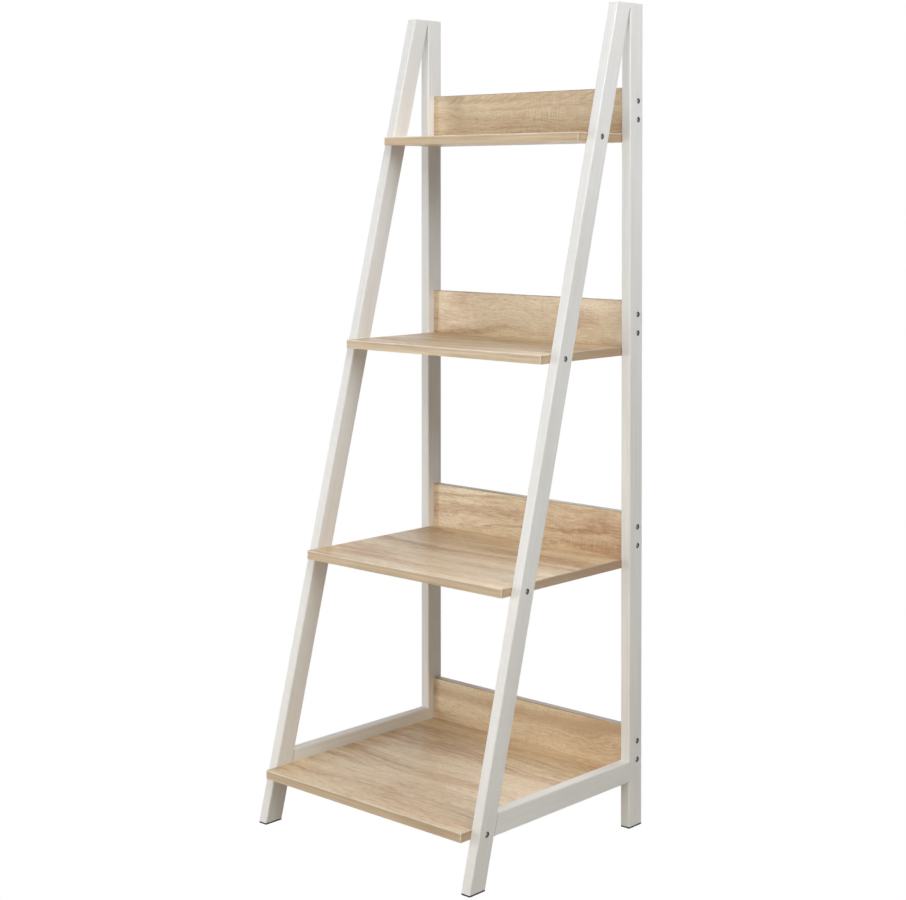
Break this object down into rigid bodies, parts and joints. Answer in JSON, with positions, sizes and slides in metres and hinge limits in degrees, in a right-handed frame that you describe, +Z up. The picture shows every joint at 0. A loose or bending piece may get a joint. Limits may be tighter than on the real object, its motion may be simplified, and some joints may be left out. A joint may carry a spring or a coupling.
{
  "type": "ladder shelf",
  "caption": "Free-standing ladder shelf with white A-shaped side frames and oak-look shelves that deepen towards the floor, each with a low back board.",
  "frame": {"origin": "on the floor, at the centre of the footprint of the feet", "axes": "+Z up, +Y from the slanted front legs towards the upright rear posts, +X to the right as seen from the front"},
  "size_m": [0.522, 0.471, 1.5],
  "materials": {
    "white_paint": "satin white paint on solid wood laths",
    "oak_laminate": "light oak decor on 16 mm particle board, matt with a fine grain texture",
    "shelf_edge": "oak-look edge band, matt",
    "back_board_edge": "darker oak-look edge band, matt",
    "nickel_screw": "nickel plated, satin",
    "foot_pad": "black, matt",
    "dowel_wood": "plain beech"
  },
  "bodies": {
    "root": {"left_rear_post": "white_paint", "right_rear_post": "white_paint", "left_front_leg": "white_paint", "right_front_leg": "white_paint", "left_bottom_rail": "white_paint", "right_bottom_rail": "white_paint", "left_rail_dowels": "dowel_wood", "right_rail_dowels": "dowel_wood", "left_top_dowel": "dowel_wood", "right_top_dowel": "dowel_wood", "left_rear_foot_pad": "foot_pad", "right_rear_foot_pad": "foot_pad", "left_front_foot_pad": "foot_pad", "right_front_foot_pad": "foot_pad", "bottom_shelf": "oak_laminate", "lower_shelf": "oak_laminate", "upper_shelf": "oak_laminate", "top_shelf": "oak_laminate", "bottom_shelf_edge_band": "shelf_edge", "lower_shelf_edge_band": "shelf_edge", "upper_shelf_edge_band": "shelf_edge", "top_shelf_edge_band": "shelf_edge", "bottom_back_board": "oak_laminate", "lower_back_board": "oak_laminate", "upper_back_board": "oak_laminate", "top_back_board": "oak_laminate", "bottom_back_edge_band": "back_board_edge", "lower_back_edge_band": "back_board_edge", "upper_back_edge_band": "back_board_edge", "top_back_edge_band": "back_board_edge", "left_leg_screws": "nickel_screw", "right_leg_screws": "nickel_screw", "left_post_screws": "nickel_screw", "right_post_screws": "nickel_screw", "bottom_back_screws": "nickel_screw", "lower_back_screws": "nickel_screw", "upper_back_screws": "nickel_screw", "top_back_screws": "nickel_screw"}
  },
  "joints": []
}
